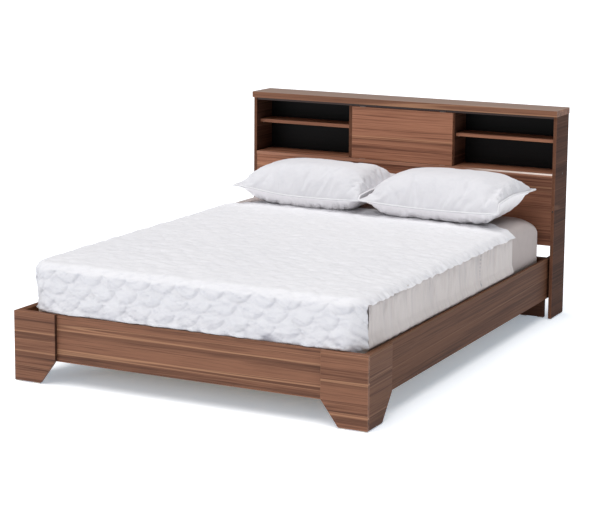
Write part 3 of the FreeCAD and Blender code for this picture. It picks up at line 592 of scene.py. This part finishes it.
def rounder(places):
    """Round the left foot corner further, and draw it in towards the rails."""
    reach, bend = 0.125, CORNER + 0.002
    edge = np.array((MATTRESS_LOW.x - 0.003, FOOT)) + reach
    away = edge - places[:, :2]
    inside = (away > 0).all(axis=1)
    length = np.maximum(np.linalg.norm(away, axis=1), 1e-6)
    way = np.abs(away) / length[:, None]
    core = reach - bend
    along = core * way.sum(axis=1)
    round_part = along + np.sqrt(np.maximum(along ** 2 - 2 * core ** 2 + bend ** 2, 0))
    on_arc = (way * round_part[:, None]).min(axis=1) > core
    border = np.where(on_arc, round_part, reach / way.max(axis=1))
    share = np.where(inside, reach / border, 1)
    places[:, :2] = np.where(inside[:, None], edge - away * share[:, None], places[:, :2])
    x, y, z = places.T
    drawn = ramp(-z, -0.43, -0.31) * ramp(-y, 0.92, 1.03) * ramp(-x, 0.60, 0.72)
    places[:, 0] += 0.010 * drawn
    return places


def crowned(places, rise):
    """Lift the upper face towards its middle."""
    middle = (MATTRESS_LOW + MATTRESS_HIGH) / 2
    half = (MATTRESS_HIGH - MATTRESS_LOW) / 2
    across = np.clip(np.abs(places[:, 0] - middle.x) / half.x, 0, 1)
    lengthwise = np.clip(np.abs(places[:, 1] - middle.y) / half.y, 0, 1)
    dome = (1 - across ** 5) * (1 - lengthwise ** 7)
    upper = ramp(places[:, 2], 0.40, 0.485)
    places[:, 2] += rise * dome * upper
    return places


def head_edge(x):
    """Where the cover ends towards the headboard, at each place across the bed."""
    return 0.690 - 0.162 * ramp(np.abs(x), 0.50, SIDE)


def mattress(material):
    """The mattress in its fitted sheet; its head end shows."""
    block = mattress_block("mattress_in_sheet", 0)
    refine(block, 0.014)
    places, ways = spots(block), facings(block)
    sideways, endways = np.abs(ways[:, 0]), np.abs(ways[:, 1])
    x, y, z = places.T
    pull = ripple(pair(y, z), (0.16, 0.3), 3) * sideways
    pull += ripple(pair(x, z), (0.19, 0.3), 5) * endways
    fold = 0.030 * bell(y - SLIT, 0.014) * sideways * ramp(-z, -0.475, -0.455)
    # Drawn in where the cover's ribbed sides lie over it
    head = head_edge(SIDE)
    dressed = sideways * ramp(-y, -head + 0.01, -head + 0.04) * ramp(-z, -0.480, -0.455)
    places -= ways * (0.0012 + 0.0012 * pull + fold + 0.0080 * dressed)[:, None]
    places = crowned(places, 0.014)
    # The head end's right corner hangs a little
    places[:, 2] -= 0.045 * (ramp(x, 0.60, 0.80) ** 1.3 * ramp(y, 0.74, 0.94)
                             * ramp(z, 0.38, 0.48))
    places[:, 2] += 0.0010 * ripple(places[:, :2], (0.21, 0.13), 9) * (ways[:, 2] > 0.5)
    put(block, rounder(places))
    laid_on(block, "bed", "mattress", material)


# The cover's stitching: overlapping shells in rows
PITCH, ROW, REACH = 0.112, 0.058, 0.060
UPHILL = (-0.005, 0.007)  # a step towards the light, for the shade in the hollows


def shells(u, v):
    """Height from 0 at the stitched lines to 1 in the middle of each shell."""
    first = np.floor(v / ROW).astype(int)
    nearest = np.full(len(u), 1.0)
    covered = np.zeros(len(u), bool)
    for step in (2, 1, 0, -1):
        row = first + step
        shift = np.where(row % 2 == 0, 0, PITCH / 2)
        centre = np.round((u - shift) / PITCH) * PITCH + shift
        away = np.hypot(u - centre, v - row * ROW)
        gap = np.abs(away - REACH)
        nearest = np.where(covered, nearest, np.minimum(nearest, gap))
        covered |= away < REACH
    return 1 - np.exp(-(np.minimum(nearest, 0.03) / 0.009) ** 1.3)


def quilted(cloth):
    """Height of the shells and of the small folds drawn up between them."""
    wander = 0.007 * ripple(cloth, (0.09, 0.07), 4)
    height = shells(cloth[:, 0] + wander, cloth[:, 1] - wander)
    folds = (0.6 * crease(cloth, (0.085, 0.026), -24, 1)
             + 0.5 * crease(cloth, (0.050, 0.018), 12, 31))
    return height, folds


def at_the_rail(z):
    """How far the tucked-in lower edge swells outwards just above the rails."""
    return ramp(-z, -0.350, -0.306) * ramp(z, RAIL_TOP, RAIL_TOP + 0.005)


def slit_gap(z):
    """Half the opening of the corner slit, widest just below the seam."""
    return 0.0016 + 0.0075 * ramp(z, 0.35, 0.45) * (1 - ramp(z, 0.462, 0.474))


def cover_top(material):
    """Top and foot end with stitched shells, falling over the foot's round corners."""
    cover = mattress_block("quilted_cover_top", 0.0028)
    refine(cover, 0.0058)
    behind_slit = SLIT - 0.0014
    cut_at(cover, (0, 0, HEM), (0, 0, -1))
    cut_at(cover, (0, 0, SEAM), (0, 0, -1),
           lambda x, y, z: (z < SEAM) & (y > SLIT + 0.02))
    cut_at(cover, (0, behind_slit, 0), (0, 1, 0),
           lambda x, y, z: (z < SEAM) & (y > behind_slit))
    remove_faces(cover, lambda x, y, z: y > head_edge(x))
    places, ways = spots(cover), facings(cover)
    near = places[:, 1] > head_edge(places[:, 0]) - 0.006
    places[near, 1] = head_edge(places[near, 0])
    x, y, z = places.T
    sideways = np.abs(ways[:, 0])
    top = ramp(ways[:, 2], 0.15, 0.75)
    down = 1 - top
    face = ramp(-ways[:, 1], 0.2, 0.7) * down
    cloth = pair(x, (z - EDGE) + (y - FOOT))
    height, folds = quilted(cloth)
    lift = height * (0.0022 * top + 0.0064 * down)
    lift += (0.0016 * top + 0.0108 * down) * folds * (1.15 - 0.7 * height)
    for depth, size, seed in ((0.0014, (0.11, 0.075), 2), (0.0022, (0.040, 0.036), 6),
                              (0.0014, (0.026, 0.020), 26)):
        lift += top * depth * ripple(cloth, size, seed)
    # Gathered welt over the seam with the ribbed sides
    rim = sideways * ramp(-z, -0.500, -0.482) * ramp(y, SLIT, SLIT + 0.03)
    gather = (0.6 * ripple(pair(y, z), (0.014, 0.03), 14)
              + ripple(pair(y, z), (0.030, 0.2), 17))
    lift += rim * (0.0044 + 0.0050 * gather)
    droop = rim * (0.003 + 0.0045 * ripple(pair(y, y), (0.024, 9), 18))
    # Pleats at the left foot corner
    corner = ramp(-x, 0.70, 0.76) * ramp(-y, -SLIT - 0.02, -SLIT + 0.02) * down
    pleats = ripple(pair(z, x + y), (0.011, 0.06), 41)
    lift += corner * 0.0032 * pleats
    # Fullness where the cover is tucked in behind the rails
    tuck = at_the_rail(z)
    swell = (ripple(pair(x, z), (0.060, 0.05), 8)
             + 0.6 * ripple(pair(x, z), (0.030, 0.05), 28))
    lift += face * tuck * (0.0075 + 0.0085 * swell)
    lift += (1 - face) * down * tuck * ramp(x, 0.6, 0.7) * 0.006
    # Turned edges at the slit and towards the headboard
    lift += sideways * ramp(y, SLIT - 0.014, SLIT - 0.004) * (z < SEAM) * 0.0030
    to_edge = head_edge(x) - y
    lift -= (1 - ramp(to_edge, 0.0, 0.010)) * 0.0020
    lift += top * (1 - ramp(to_edge, 0.006, 0.040)) * 0.0020
    # Painted shade on the side of each shell and fold that turns away from the light, a
    # little over the whole foot end and sides, in creases and between full folds at the foot
    # just above the rail, and in the pleats at the left foot corner
    raised, drawn_up = quilted(cloth + UPHILL)
    shell_shade = np.maximum(raised - height, 0)
    fold_shade = np.maximum(drawn_up - folds, 0)
    hollow = down * (0.06 + 0.50 * shell_shade + 0.55 * fold_shade)
    hollow += top * (0.07 * shell_shade + 0.10 * fold_shade)
    hollow += (face * ramp(-z, -0.375, -0.310)
               * 0.30 * crease(cloth, (0.050, 0.013), -28, 51))
    hollow += face * ramp(-z, -0.345, -0.300) * np.maximum(-swell, 0) * 0.7
    hollow += corner * np.maximum(-pleats, 0) * 0.7
    places += ways * lift[:, None]
    places[:, 2] -= droop
    turned = down * ramp(np.abs(x), 0.70, 0.76) * ramp(y, SLIT - 0.05, SLIT)
    places[:, 1] -= turned * slit_gap(z)
    places = crowned(places, 0.0145)
    under = places[:, 2] < RAIL_TOP + 0.0005
    places[:, 1] = np.where(under, np.maximum(places[:, 1], TUCK_FOOT), places[:, 1])
    places[:, 0] = np.where(under, np.clip(places[:, 0], -TUCK_CORNER, TUCK_CORNER),
                            places[:, 0])
    put(cover, rounder(places))
    keep(cover, "hollow", np.clip(hollow, 0, 1))
    laid_on(cover, "bed", "quilted_cover", material)
    return cover


# A stitched line runs down each ribbed side and ends in a small dark tack
STITCH = 0.1245
TACK = 0.3255


def cover_side(material, word, side):
    """Ribbed side of the cover, gathered into the seam under the quilted top."""
    panel = mattress_block(f"ribbed_cover_side_{word}", 0.0020)
    refine(panel, 0.0042)
    head = float(head_edge(SIDE))
    cut_at(panel, (0, 0, HEM), (0, 0, -1))
    cut_at(panel, (0, 0, SEAM + 0.006), (0, 0, 1))
    cut_at(panel, (0, SLIT + 0.0014, 0), (0, -1, 0))
    cut_at(panel, (0, head, 0), (0, 1, 0))
    cut_at(panel, (0, 0, 0), (-side, 0, 0))
    places, ways = spots(panel), facings(panel)
    x, y, z = places.T
    face = pair(y, z)
    wander = 0.006 * ripple(face, (0.05, 0.045), 10)
    cloth = pair(y + 0.04 * (z - 0.4) + wander, z)
    ribs = ripple(cloth, (0.0155, 0.16), 11) + 0.5 * ripple(cloth, (0.034, 0.20), 12)
    fade = ramp(-y, -head, -head + 0.16)
    high = ramp(z, 0.31, 0.42)
    lift = (0.35 + 0.65 * high) * (0.25 + 0.75 * fade) * 0.0058 * ribs
    lift += ramp(z, 0.430, 0.462) * 0.0014 * ripple(face, (0.013, 0.03), 14)
    lift -= ramp(z, 0.458, SEAM) * 0.0030
    stitch = bell(y - STITCH, 0.004)
    lift -= stitch * (0.0050 + 0.0030 * ripple(face, (0.02, 0.012), 16))
    lift += bell(np.abs(y - STITCH) - 0.010, 0.006) * 0.0012
    lift = np.maximum(lift, -0.0070)
    lift += at_the_rail(z) * 0.0100
    lift += (1 - ramp(y - SLIT, 0.002, 0.012)) * 0.0012
    lift -= (1 - ramp(head - y, 0.0, 0.008)) * 0.0012
    # Dark dashes along the stitched line, a dark tack at its end, and painted shade in the
    # ribs' hollows
    dash = (np.sin(z * math.tau / 0.016) > -0.2).astype(float)
    hollow = stitch * dash * ramp(z, 0.31, 0.33) * 0.9
    hollow += 2 * bell(y - STITCH, 0.0065) * bell(z - TACK, 0.0060)
    hollow += 0.24 * np.maximum(-ribs, 0) * (0.3 + 0.7 * high)
    places += ways * lift[:, None]
    places[:, 1] += (1 - ramp(y - SLIT, 0.0, 0.05)) * slit_gap(z)
    reach = np.where(places[:, 2] < RAIL_TOP + 0.0015, TUCK_SIDE, 0.7760)
    places[:, 0] = np.clip(places[:, 0], -reach, reach)
    put(panel, rounder(places))
    keep(panel, "hollow", np.clip(hollow, 0, 1))
    laid_on(panel, "bed", "quilted_cover", material)
    return panel


def quilted_cover(material, ribbed):
    """Fitted quilted cover: a quilted panel over the top and foot, and two ribbed sides."""
    top = cover_top(material)
    sides = [cover_side(ribbed, word, side) for word, side in (("left", -1), ("right", 1))]


# Pillows. Each has its width and depth, its middle across the bed and from the headboard,
# its turn in degrees, how far its front right corner, left end and rear right corner are
# raised, how full its left and right ends are, and the number of its creases.

PILLOWS = {
    "left": dict(width=0.694, depth=0.404, across=-0.342, setback=0.228, turn=-4.2,
                 front_corner=0.020, left_end=0.014, rear_corner=0.030,
                 fullness=(2.1, 6.5), seed=21),
    "right": dict(width=0.706, depth=0.446, across=0.365, setback=0.252, turn=-2.8,
                  front_corner=0.042, left_end=0.0, rear_corner=0.0,
                  fullness=(3.2, 6.0), seed=34),
}
CROWN, BELLY, BORDER = 0.101, 0.088, 0.0035
TILT = 4.5  # degrees, with the front edge lower
HEADBOARD_FACE = 0.9495
FILLING_STEPS, MOST_FILLED = 20, 0.018
FLATTENED = 0.034  # height of the belly that flattens under the pillow's weight
PRESSED_IN = 0.003
PIPING = 0.0044
ON_SEAM = 0.999


def pillow_case(name, form, step):
    """Two cotton panels sewn together round their edges, shaped as their seam lets them."""
    width, depth = form["width"], form["depth"]
    nothing_selected()
    bpy.ops.mesh.primitive_grid_add(x_subdivisions=int(width / step),
                                    y_subdivisions=int(depth / step), size=2)
    case = bpy.context.object
    case.name = name
    layers = case.modifiers.new("two_panels", "SOLIDIFY")
    layers.thickness = 0.02
    layers.offset = 0
    bpy.ops.object.modifier_apply(modifier=layers.name)
    places = spots(case)
    u, v = np.clip(places[:, 0], -1, 1), np.clip(places[:, 1], -1, 1)
    panel = np.sign(places[:, 2])
    ends = np.where(u < 0, *form["fullness"])
    over = ((1 - np.abs(u) ** ends) ** 0.80) * ((1 - np.abs(v) ** 2.9) ** 0.72)
    under = ((1 - np.abs(u) ** np.where(u < 0, 3.6, 2.7)) ** 0.74)
    under *= (1 - np.abs(v) ** 3.5) ** 0.67
    uneven = 1 + 0.05 * ripple(pair(u, v), (0.5, 0.6), form["seed"])
    swell = np.where(panel > 0, CROWN * uneven * over, BELLY * under)
    sag = -0.014 * (1 - u ** 2) * ramp(-v, 0.2, 1)
    raised = (form["front_corner"] * ramp(v, -1, -0.86) * ramp(u, 0.78, 1)
              * (1 - 0.55 * ramp(v, -0.2, 1)))
    raised += form["left_end"] * ramp(-u, 0.1, 0.9)
    raised += form["rear_corner"] * ramp(u, 0.4, 1) * ramp(v, 0, 1)
    rim_x = u * width / 2 * (1 - 0.035 * (1 - v ** 2) * np.abs(u) ** 4)
    rim_y = v * depth / 2 * (1 - 0.060 * (1 - u ** 2) * np.abs(v) ** 4)
    height = sag + raised + panel * (swell + BORDER)
    put(case, np.stack([rim_x, rim_y, height], 1))
    for label, values in (("across", u), ("lengthwise", v), ("panel", panel)):
        keep(case, label, values)
    seam = case.vertex_groups.new(name="seam")
    on_seam = np.flatnonzero((np.abs(u) > ON_SEAM) | (np.abs(v) > ON_SEAM))
    seam.add([int(index) for index in on_seam], 1.0, "REPLACE")
    return case, u, v


def filled(case):
    """Press the filling outwards: loose cloth held at its seam, with no weight."""
    start = spots(case)
    cloth = case.modifiers.new("filling", "CLOTH")
    for label, value in {
            "quality": 6, "mass": 0.2, "tension_stiffness": 25,
            "compression_stiffness": 25, "shear_stiffness": 8, "bending_stiffness": 0.08,
            "shrink_min": -0.045, "use_pressure": True, "uniform_pressure_force": 2.2,
            "vertex_group_mass": "seam"}.items():
        setattr(cloth.settings, label, value)
    cloth.settings.effector_weights.gravity = 0
    for moment in range(1, FILLING_STEPS + 1):
        bpy.context.scene.frame_set(moment)
    only(case)
    bpy.ops.object.modifier_apply(modifier=cloth.name)
    bpy.context.scene.frame_set(1)
    moved = spots(case) - start
    length = np.linalg.norm(moved, axis=1)
    share = np.where(length > MOST_FILLED, MOST_FILLED / np.maximum(length, 1e-9), 1)
    put(case, start + moved * share[:, None])


def set_down(places, form, rest):
    """Flatten the belly, turn the pillow, and lay it with its lowest point at rest."""
    bottom = places[:, 2].min() + FLATTENED
    places[:, 2] = np.where(places[:, 2] < bottom, bottom + 0.12 * (places[:, 2] - bottom),
                            places[:, 2])
    swing = (Matrix.Rotation(math.radians(form["turn"]), 3, "Z")
             @ Matrix.Rotation(math.radians(TILT), 3, "X"))
    places = places @ np.array(swing).T
    places += np.array((form["across"], HEADBOARD_FACE - form["setback"], 0))
    places[:, 2] += rest - places[:, 2].min()
    return places


def seam_line(places, u, v):
    """Points round the case between its panels' edges, set a little outwards."""
    angle = np.arctan2(v, u)
    half = len(u) // 2
    loop = sorted((index for index in range(half)
                   if abs(u[index]) > ON_SEAM or abs(v[index]) > ON_SEAM),
                  key=lambda index: angle[index])
    line = (places[loop] + places[[index + half for index in loop]]) / 2
    away = (line - line.mean(0)) * (1, 1, 0)
    return line + away / np.linalg.norm(away, axis=1)[:, None] * 0.0040


def piping(name, line):
    """A sewn cord along the seam."""
    curve = bpy.data.curves.new(name, "CURVE")
    curve.dimensions = "3D"
    curve.bevel_depth = PIPING
    curve.bevel_resolution = 2
    spline = curve.splines.new("POLY")
    spline.points.add(len(line) - 1)
    for point, place in zip(spline.points, line):
        point.co = (*place, 1)
    spline.use_cyclic_u = True
    cord = bpy.data.objects.new(name, curve)
    bpy.context.scene.collection.objects.link(cord)
    only(cord)
    bpy.ops.object.convert(target="MESH")
    return cord


def gathered(case, form):
    """Small creases that run in from the seams, and slack folds in the belly."""
    u, v, panel = (kept_values(case, label) for label in ("across", "lengthwise", "panel"))
    width, depth, seed = form["width"], form["depth"], form["seed"]
    places, ways = spots(case), facings(case)
    x, y = u * width / 2, v * depth / 2
    end, front = (1 - np.abs(u)) * width / 2, (1 - np.abs(v)) * depth / 2
    upper = ramp(panel, -0.2, 0.2)
    fan = pair(y * (1 - 1.2 * end), end)
    pulled = np.exp(-end / 0.050) * ramp(end, 0, 0.012) * ramp(front, 0, 0.05)
    lift = pulled * (0.0056 * ripple(fan, (0.013, 0.09), seed)
                     - 0.0070 * crease(fan, (0.018, 0.06), 8, seed + 1))
    along = pair(x, front)
    pulled = np.exp(-front / 0.035) * ramp(front, 0, 0.010) * ramp(end, 0, 0.06)
    lift += pulled * 0.0018 * ripple(along, (0.018, 0.07), seed + 2)
    lift += (upper * 0.0016 * ripple(pair(x, y), (0.034, 0.16), seed + 3)
             * ramp(end, 0, 0.2))
    slack = (1 - upper) * ramp(front, 0.004, 0.03) * ramp(-v, 0.3, 0.7)
    lift -= slack * 0.0060 * crease(along, (0.030, 0.12), 38, seed + 4)
    put(case, places + ways * lift[:, None])


def pillows(material):
    """Two pillows with piped seams, leaning back a little towards the headboard."""
    for word, form in PILLOWS.items():
        step = 0.0085
        case, u, v = pillow_case(f"pillow_case_{word}", form, step)
        filled(case)
        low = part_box(f"pillow_{word}")[0]
        places = set_down(spots(case), form, low.z - PRESSED_IN)
        put(case, places)
        cord = piping(f"piping_{word}", seam_line(places, u, v))
        only(case)
        bpy.ops.object.modifier_add(type="SUBSURF")
        bpy.ops.object.modifier_apply(modifier=case.modifiers[0].name)
        gathered(case, form)
        only(case)
        cord.select_set(True)
        bpy.ops.object.join()
        laid_on(case, "bed", f"pillow_{word}", material)


# Screw covers

COVER_RADIUS, COVER_DEPTH = 0.0042, 0.0016
COVER_PLACE = (0.805, 0.526)  # from the bed's middle, and above the floor


def screw_covers():
    """A small dark cover in the front edge of each headboard side."""
    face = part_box("headboard_side_right")[0].y
    across, height = COVER_PLACE
    for word, side in (("left", -1), ("right", 1)):
        nothing_selected()
        bpy.ops.mesh.primitive_cylinder_add(vertices=24, radius=COVER_RADIUS,
                                            depth=COVER_DEPTH,
                                            location=(side * across, face - 0.0006, height),
                                            rotation=(math.pi / 2, 0, 0))
        cover = bpy.context.object
        cover.name = f"screw_cover_{word}"
        bpy.ops.object.transform_apply(location=True, rotation=True, scale=True)
        edges = cover.modifiers.new("rounded_rim", "BEVEL")
        edges.width = 0.0005
        edges.segments = 2
        bpy.ops.object.modifier_apply(modifier=edges.name)
        cover.data.materials.append(NODES["shelf_screws"].data.materials[0])
        smooth(cover)
        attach(cover, "bed")


# Floor and light

# Name, spread in degrees, strength, and the direction that the light comes from
LIGHTS = (
    ("overhead", 66, 3.10, (-0.10, -0.18, 0.978)),
    ("front", 50, 0.31, (-0.30, -0.88, 0.35)),
)
ROOM_LIGHT, BACKGROUND = 0.09, 1.0
HALF_WIDTH, HALF_LENGTH = 0.816, 1.126  # of the floor under the bed


def floor():
    """White floor that glows with painted light of its own, less under the bed than beside
    it, which paints a shadow under the bed.
    """
    nothing_selected()
    bpy.ops.mesh.primitive_plane_add(size=300)
    ground = bpy.context.object
    ground.name = "studio_floor"
    finish = Finish("white_floor")
    grain = finish.cloud(finish.place((30, 30, 30)), detail=2)
    x, y = finish.parts()[:2]
    # Painted light: the floor's own glow is dim under the bed, a painted shadow, and bright
    # and cool beyond it
    open_floor = (abs(x) - HALF_WIDTH).most(abs(y) - HALF_LENGTH).rise(-0.40, 0.00)
    ground.data.materials.append(finish.surface({
        "Base Color": finish.blend(0.2 * grain, tint(253, 251, 249), tint(250, 248, 246)),
        "Roughness": 0.9,
        "Specular IOR Level": 0.1,
        "Emission Color": finish.blend(open_floor, (0.16, 0.22, 0.27), (0.74, 0.86, 1.0)),
        "Emission Strength": 0.43,
    }))


def studio():
    """The floor, dim light from all round, a white background and two soft lights."""
    floor()
    sky = bpy.data.worlds.new("studio_light")
    bpy.context.scene.world = sky
    sky.use_nodes = True
    tree = sky.node_tree
    tree.nodes.clear()
    seen = tree.nodes.new("ShaderNodeLightPath")
    mixed = tree.nodes.new("ShaderNodeMixShader")
    shown = tree.nodes.new("ShaderNodeOutputWorld")
    for place, strength in ((1, ROOM_LIGHT), (2, BACKGROUND)):
        white = tree.nodes.new("ShaderNodeBackground")
        white.inputs["Color"].default_value = (1, 1, 1, 1)
        white.inputs["Strength"].default_value = strength
        tree.links.new(white.outputs[0], mixed.inputs[place])
    tree.links.new(seen.outputs["Is Camera Ray"], mixed.inputs["Fac"])
    tree.links.new(mixed.outputs[0], shown.inputs["Surface"])
    for name, spread, energy, way in LIGHTS:
        bpy.ops.object.light_add(type="SUN")
        lamp = bpy.context.object
        lamp.name = f"soft_{name}_light"
        lamp.data.angle = math.radians(spread)
        lamp.data.energy = energy
        lamp.matrix_world = Vector(way).to_track_quat("Z", "Y").to_matrix().to_4x4()
    bpy.context.scene.view_settings.view_transform = "Standard"


camera()
finishes()
linen = cotton("bed_linen_cotton", tint(222, 221, 225), tint(211, 211, 217), 0.25,
               (16, 26, 20), pillow=True)
quilting = cotton("quilting_cotton", tint(234, 233, 236), tint(219, 219, 225), 0.75,
                  (30, 60, 50), sewn=True)
# The ribbed sides' cotton, and still more the fitted sheet's, are darker copies of the white
# cotton: painted shade
ribbing = cotton("ribbed_side_cotton", tint(221, 213, 210), tint(208, 200, 197), 0.45,
                 (60, 60, 9), sewn=True)
sheeting = cotton("fitted_sheet_cotton", tint(184, 173, 170), tint(173, 162, 160), 0.2,
                  (16, 26, 20))
mattress(sheeting)
quilted_cover(quilting, ribbing)
pillows(linen)
screw_covers()
studio()
